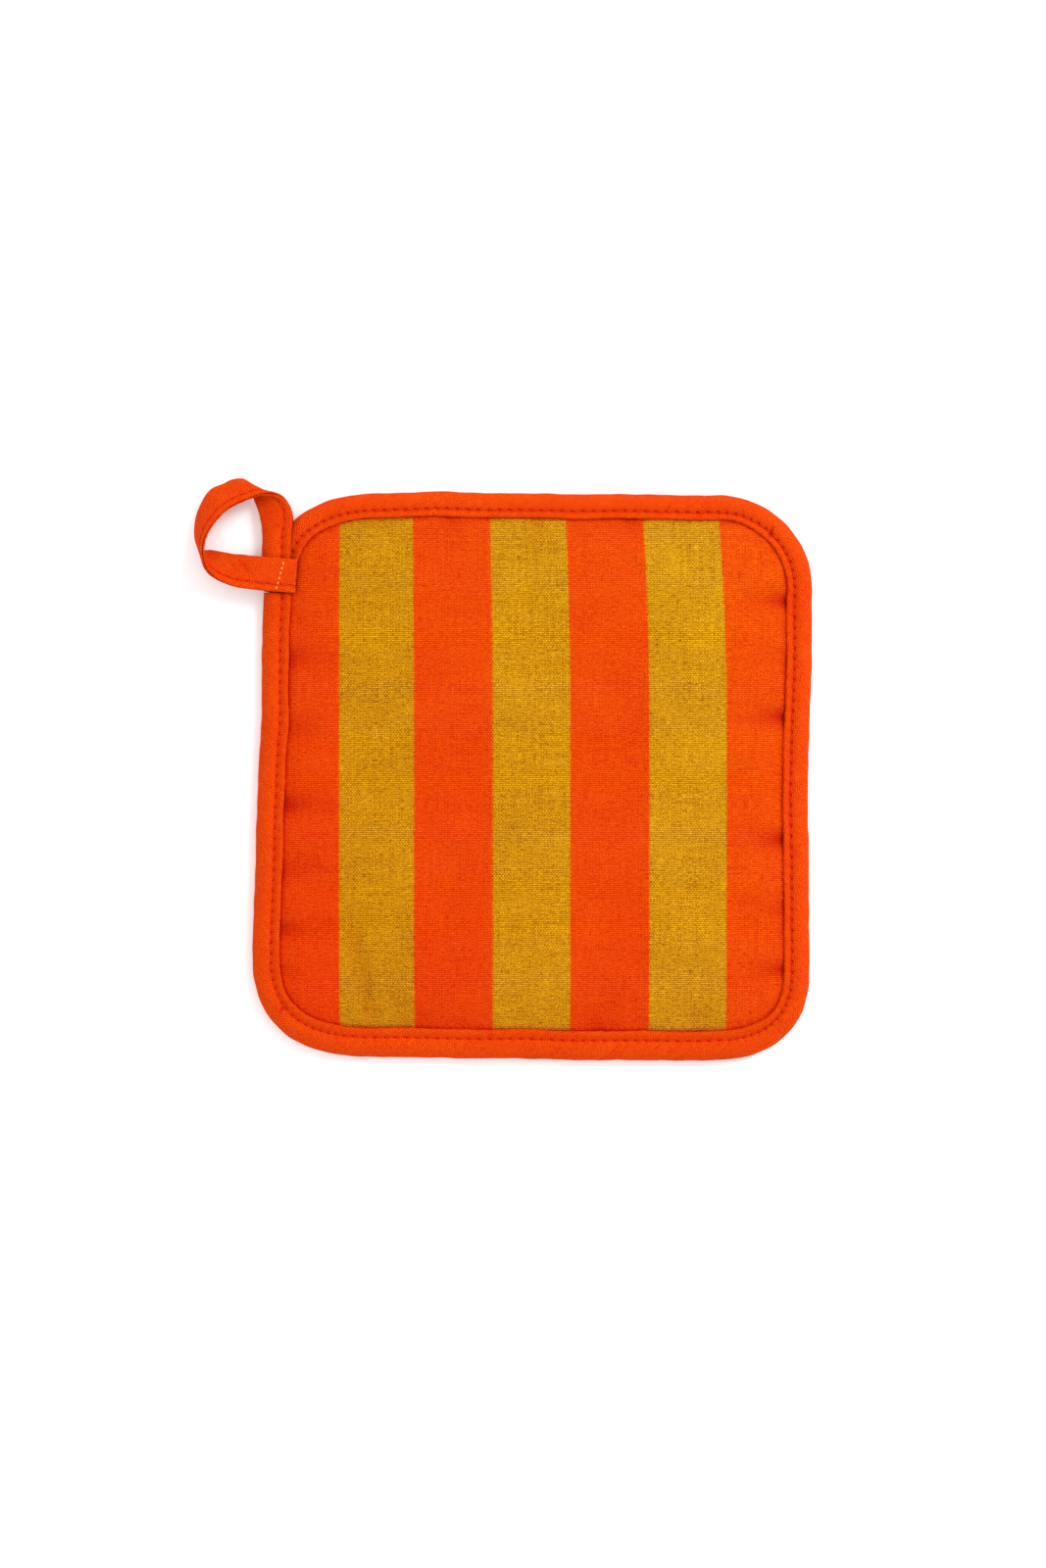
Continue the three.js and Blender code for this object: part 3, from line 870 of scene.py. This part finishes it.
def plain_weave(n, u, v, pitch, wander=0.32):
    """A plain weave: its height, each thread's own shade, and the light and shade painted on it."""
    drift = n.noise(n.times(u, 0.11), n.times(v, 0.11), 2.0, 3.0)
    drift = n.times(n.minus(drift, 0.5), 2 * wander)
    fine = n.noise(n.times(u, 0.7), n.times(v, 0.7), 1.0, 9.0)
    fine = n.times(n.minus(fine, 0.5), wander)
    a = n.plus(n.plus(n.math("DIVIDE", u, pitch[0]), drift), fine)
    b = n.minus(n.plus(n.math("DIVIDE", v, pitch[1]), fine), drift)
    swell_a = n.math("SINE", n.times(a, math.pi))
    swell_b = n.math("SINE", n.times(b, math.pi))
    crossing = n.times(swell_a, swell_b)
    height = n.math("POWER", n.size_of(crossing), 0.6)
    weft_up = n.ranged(crossing, -0.15, 0.15, 1.0, 0.0)
    warp_shade = n.noise(n.math("FLOOR", a), n.times(v, 0.045), 3.0, 5.0)
    weft_shade = n.noise(n.times(u, 0.06), n.math("FLOOR", b), 3.0, 7.0)
    shade = n.plus(n.times(warp_shade, n.minus(1.0, weft_up)), n.times(weft_shade, weft_up))
    # Painted shade in the gaps between the threads, the deepest between weft and weft, and painted light on
    # the weft.
    rows = n.ranged(n.size_of(swell_b), 0.0, 0.75, 0.28, 1.22)
    columns = n.ranged(n.size_of(swell_a), 0.0, 0.6, 0.74, 1.07)
    lit = n.times(n.times(rows, columns), n.ranged(crossing, -0.6, 0.6, 1.2, 0.82))
    return height, shade, lit


def yarn_tone(n, u, v, shade, strengths):
    """How light the yarn is at each point, about 1: whole threads, slubs both ways, flecks, clouds."""
    parts = [
        shade,
        n.noise(n.times(u, 0.5), n.times(v, 2.2), 1.0, 4.0),
        n.noise(n.times(u, 2.2), n.times(v, 0.5), 1.0, 14.0),
        n.noise(n.times(u, 2.1), n.times(v, 2.1), 1.0, 6.0),
        n.noise(n.times(u, 0.035), n.times(v, 0.05), 3.0, 1.0),
    ]
    tone = 1.0
    for part, strength in zip(parts, strengths):
        tone = n.plus(tone, n.times(n.minus(part, 0.5), strength))
    return n.math("MAXIMUM", tone, 0.25)


def reddened(n, light):
    """The factor for a dyed orange as it gets lighter or darker: its green moves most."""
    return n.join(n.math("POWER", light, 0.18), n.math("POWER", light, 1.2), light)


def striped_cotton():
    n = Nodes("striped cotton")
    x, y, _ = n.millimetres()
    height, shade, lit = plain_weave(n, x, y, WEAVE_PITCH)
    # The stripes lean to the left towards the top, where the cloth was pulled.
    up = n.math("POWER", n.ranged(y, 20, 90, 0.0, 1.0), 2.0)
    lean = n.times(n.times(up, 2.5), n.ranged(x, -70, 70, 0.0, 1.0))
    ragged = n.noise(n.times(x, 0.02), y, 1.0, 2.0)
    ragged = n.times(n.minus(ragged, 0.5), 0.9)
    place = n.plus(n.plus(x, lean), ragged)
    stops = [(0.0, STRIPES[0])]
    for k, edge in enumerate(STRIPE_EDGES):
        middle = (edge + 105) / 210
        stops += [(middle - 0.0011, STRIPES[k]), (middle + 0.0011, STRIPES[k + 1])]
    colour = n.ramp(n.ranged(place, -105, 105, 0.0, 1.0), stops)
    mustard = n.math("GREATER_THAN", n.split(colour)[1], 0.1)
    # Thread by thread, some dyed deeper than others, with shade painted in the gaps between them.
    light = n.times(yarn_tone(n, x, y, shade, (1.6, 1.5, 0.7, 1.5, 0.45)), lit)
    speck = n.noise(n.times(x, 1.9), n.times(y, 1.9), 0.0, 8.0)
    light = n.times(light, n.ranged(speck, 0.64, 0.74, 1.0, 0.5))
    # Painted shade: the gathers and the gap under the binding's lip are painted darker and redder than the
    # open cloth.
    hollow_shade = n.attribute("hollow_shade")
    red_power = n.plus(0.22, n.times(mustard, 0.42))
    green_power = n.minus(1.1, n.times(mustard, 0.15))
    red = n.times(n.math("POWER", light, red_power), n.ranged(hollow_shade, 0.0, 1.0, 1.0, 0.75))
    green = n.times(n.math("POWER", light, green_power), n.ranged(hollow_shade, 0.0, 1.0, 1.0, 0.2))
    # Partly painted light from above, partly the dye: the green rises towards the top, less on the mustard.
    top_light_and_dye = n.times(n.ranged(y, -100, 100, -1.0, 1.0), n.minus(0.14, n.times(mustard, 0.09)))
    green = n.times(green, n.plus(1.0, top_light_and_dye))
    colour = n.mix(1.0, colour, n.join(red, green, light), "MULTIPLY")
    n.bump(height, 0.14)
    return n.finish(colour, n.ranged(shade, 0.2, 0.8, 0.8, 0.95), 0.03, linear(255, 120, 40), 0.03)


def plain_cotton():
    """The back: the same cotton in one colour, slightly dirty from use."""
    n = Nodes("orange cotton")
    x, y, _ = n.millimetres()
    height, shade, lit = plain_weave(n, x, y, WEAVE_PITCH)
    light = n.times(yarn_tone(n, x, y, shade, (1.3, 1.1, 0.8, 1.3, 0.7)), lit)
    colour = n.mix(1.0, STRIPES[2], reddened(n, light), "MULTIPLY")
    n.bump(height, 0.14)
    return n.finish(colour, n.ranged(shade, 0.2, 0.8, 0.82, 0.95), 0.03, linear(255, 120, 40), 0.03)


def tape_cotton():
    """Binding tape: cut on the bias, so that its threads run slantwise, with shade painted darker where it
    is sewn.
    """
    n = Nodes("tape cotton")
    along, across = n.along_across()
    u = n.times(n.plus(along, across), math.sqrt(0.5))
    v = n.times(n.minus(along, across), math.sqrt(0.5))
    height, shade, lit = plain_weave(n, u, v, WEAVE_PITCH)
    tone = yarn_tone(n, u, v, shade, (1.4, 1.1, 0.7, 1.2, 0.35))
    # Painted shade: the creases along both rows of stitches are painted darker, and the needle holes, in a
    # scalloped line, darker still.
    off_seam = n.attribute("off_seam")
    crease = n.ranged(n.size_of(off_seam), 0.0, 0.8, 0.52, 1.0)
    step = n.math("DIVIDE", along, STITCH_PITCH)
    to_hole = n.size_of(n.minus(n.math("FRACT", n.plus(step, 0.5)), 0.5))
    off_line = n.size_of(n.minus(off_seam, n.ranged(to_hole, 0.02, 0.26, 0.3, 0.1)))
    size = n.times(n.ranged(to_hole, 0.0, 0.19, 0.28, 0.0), n.attribute("open_holes"))
    hole = n.ranged(n.minus(off_line, size), 0.0, 0.28, 0.3, 1.0)
    # More painted shade where the binding pleats and the loop wrinkles and bends over.
    hole = n.times(hole, n.ranged(n.attribute("crease_shade"), 0.0, 1.0, 1.0, 0.3))
    woven = n.times(tone, n.math("POWER", lit, 1.5))
    light = n.times(woven, n.times(crease, hole))
    colour = n.mix(1.0, TAPE_ORANGE, reddened(n, light), "MULTIPLY")
    n.bump(height, 0.12)
    return n.finish(colour, n.ranged(shade, 0.2, 0.8, 0.8, 0.95), 0.04, linear(255, 120, 40), 0.04)


def spun_thread(name, dye):
    n = Nodes(name)
    along, around = n.along_across()
    turn = n.plus(n.times(along, 1.6), n.times(around, 2.0))
    ply = n.size_of(n.math("SINE", n.times(turn, math.pi)))
    fibre = n.noise(n.times(along, 2.0), n.times(around, 9.0), 2.0, 21.0)
    # Painted shade in the grooves between the plies; the fibres differ in tone.
    light = n.times(n.ranged(ply, 0.0, 0.8, 0.55, 1.08), n.ranged(fibre, 0.2, 0.8, 0.82, 1.15))
    colour = n.mix(1.0, dye, reddened(n, light), "MULTIPLY")
    n.bump(ply, 0.08)
    return n.finish(colour, n.ranged(fibre, 0.2, 0.8, 0.5, 0.7), 0.02, linear(255, 120, 40), 0.05)


def fluff(name, colour, depth):
    """Wadding or felt: matted fibres that lie every way."""
    n = Nodes(name)
    x, y, z = n.millimetres()
    clump = n.noise(n.times(x, 0.3), n.times(y, 0.3), 4.0, 31.0, 0.6)
    fibre = n.noise(n.times(n.plus(x, z), 2.5), n.times(y, 1.1), 3.0, 33.0, 0.7)
    both = n.plus(n.times(clump, 0.6), n.times(fibre, 0.4))
    light = n.ranged(both, 0.3, 0.7, 0.75, 1.1)
    n.bump(both, depth)
    shaded = n.mix(1.0, colour, n.join(light, light, light), "MULTIPLY")
    return n.finish(shaded, n.ranged(fibre, 0.2, 0.8, 0.9, 1.0), 0.1, (1, 1, 1), 0.1)


def dyed(red, green, blue):
    """The cloth's own colour, from how it looks under this scene's light."""
    return tuple(c / LIGHT_LEVEL for c in linear(red, green, blue))


LIGHT_LEVEL = 1.33  # set by comparing the render with the photograph
# The stripes, left to right, as they look: lighter towards the right, partly the dye and partly painted
# light from the right.
STRIPES = [
    dyed(243, 69, 6), dyed(212, 141, 13), dyed(240, 71, 6), dyed(215, 146, 16),
    dyed(240, 73, 6), dyed(217, 149, 18), dyed(242, 79, 6),
]
TAPE_ORANGE = dyed(241, 68, 5)

# ---- Making the pot holder ----------------------------------------------------------------------

front, back, felt, fill = make_layers()
binding, binding_outer, binding_along = make_binding()
loop, loop_outer, loop_along = make_loop()


def seam(name, outer, along, columns, first, last):
    return stitches(name, seam_places(outer, along, columns, first, last))


def tack_places():
    """The few stitches across the loop's end that hold it down on the strap."""
    on_tail = loop_outer[loop_along > loop_along[-1] - TACK_ZONE, :LEAF_POINTS // 2].reshape(-1, 3)
    ends = np.array([TACK_START, TACK_END])
    forward = np.array([*(ends[1] - ends[0]), 0.0])
    places = []
    for share in (np.arange(TACK_STITCHES) + 0.5) / TACK_STITCHES:
        spot = ends[0] + share * (ends[1] - ends[0])
        nearest = np.argmin(np.linalg.norm(on_tail[:, :2] - spot, axis=1))
        places.append((np.array([*spot, on_tail[nearest, 2]]), forward, np.array([0.0, 0.0, 1.0])))
    return places


wrap_front, wrap_back = (np.full(len(binding_along), int(c)) for c in WRAP_SEAMS)
opening = 1 - smoothstep(loop_along, *STRAP_CLOSES)
loop_front, loop_back = (
    np.rint(w * opening + c * (1 - opening)).astype(int) for w, c in zip(WRAP_SEAMS, CLOSED_SEAMS)
)
front_stitches = seam("front_stitches", binding_outer, binding_along, wrap_front, 12, BINDING_END - 2)
back_stitches = seam("back_stitches", binding_outer, binding_along, wrap_back, 14, BINDING_END)
loop_length = loop_along[-1]
loop_stitches = [
    seam("loop_stitches_front", loop_outer, loop_along, loop_front, 8, loop_length),
    seam("loop_stitches_back", loop_outer, loop_along, loop_back, 0, loop_length),
]
tack_stitches = stitches("tack_stitches", tack_places(), TACK_LENGTH, TACK_DIAMETER)

finishes = [
    (front, "front_cloth", striped_cotton()),
    (back, "back_cloth", plain_cotton()),
    (felt, "felt", fluff("needled felt", linear(205, 202, 196), 0.4)),
    (fill, "wadding", fluff("cotton wadding", linear(240, 235, 222), 0.6)),
]
tape_finish = tape_cotton()
thread_finish = spun_thread("sewing thread", dyed(236, 62, 10))
tack_finish = spun_thread("pale sewing thread", dyed(255, 150, 70))
finishes += [(piece, "binding_tape", tape_finish) for piece in (binding, loop)]
finishes += [(piece, "sewing_thread", thread_finish)
             for piece in (front_stitches, back_stitches, *loop_stitches)]
finishes.append((tack_stitches, "sewing_thread", tack_finish))
for piece, slot, material in finishes:
    piece.data.materials.append(material)

# ---- What moves, and which imported parts are hidden --------------------------------------------

for piece in (front, back, felt, fill, binding, front_stitches, back_stitches, tack_stitches):
    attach(piece, "pad")

for piece in (loop, *loop_stitches):
    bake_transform(piece)

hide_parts("front_panel")
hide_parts("back_panel")
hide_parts("insulating_felt")
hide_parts("wadding")
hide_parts("edge_binding")
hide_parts("loop_strap", "hanging_loop", "loop_end")
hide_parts("front_seam_thread")
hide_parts("back_seam_thread")
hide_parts("strap_seam_thread", "loop_seam_thread", "loop_end_seam_thread")
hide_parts("loop_tack_thread")

# ---- Camera, light and floor --------------------------------------------------------------------

VIEW_CENTRE = (-3.56, -3.03)  # the point of the pad under the camera
VIEW_HEIGHT = 570
LENS, SENSOR = 50, 36


def make_camera():
    data = bpy.data.cameras.new("camera")
    data.lens, data.sensor_width = LENS, SENSOR
    camera = bpy.data.objects.new("camera", data)
    distance = VIEW_HEIGHT * LENS / SENSOR
    camera.location = Vector((*VIEW_CENTRE, CROWN_TOP - 2 + distance)) * MM
    bpy.context.scene.collection.objects.link(camera)
    bpy.context.scene.camera = camera


def make_light(name, place, size, power):
    data = bpy.data.lights.new(name, "AREA")
    data.shape, data.size, data.energy = "DISK", size, power
    light = bpy.data.objects.new(name, data)
    light.location = place
    light.rotation_euler = (-Vector(place)).to_track_quat("-Z", "Y").to_euler()
    bpy.context.scene.collection.objects.link(light)


def make_floor():
    side = 3000
    corners = [(-side, -side, 0), (side, -side, 0), (side, side, 0), (-side, side, 0)]
    floor = mesh_object("floor", corners, [(0, 1, 2, 3)])
    n = Nodes("pale floor")
    x, y, _ = n.millimetres()
    grain = n.noise(n.times(x, 0.02), n.times(y, 0.02), 2.0)
    tone = n.ranged(grain, 0.0, 1.0, 0.96, 0.98)
    floor.data.materials.append(n.finish(n.join(tone, tone, tone), 0.9))


def make_world():
    world = bpy.data.worlds.new("studio")
    world.use_nodes = True
    sky = world.node_tree.nodes["Background"]
    sky.inputs["Color"].default_value = (1, 1, 1, 1)
    sky.inputs["Strength"].default_value = 1.05
    bpy.context.scene.world = world


make_camera()
make_light("key", (1.15, 0.95, 1.2), 0.8, 22)
make_light("fill", (-0.5, -0.3, 0.9), 0.8, 1.0)
make_floor()
make_world()
bpy.context.scene.view_settings.view_transform = "Standard"
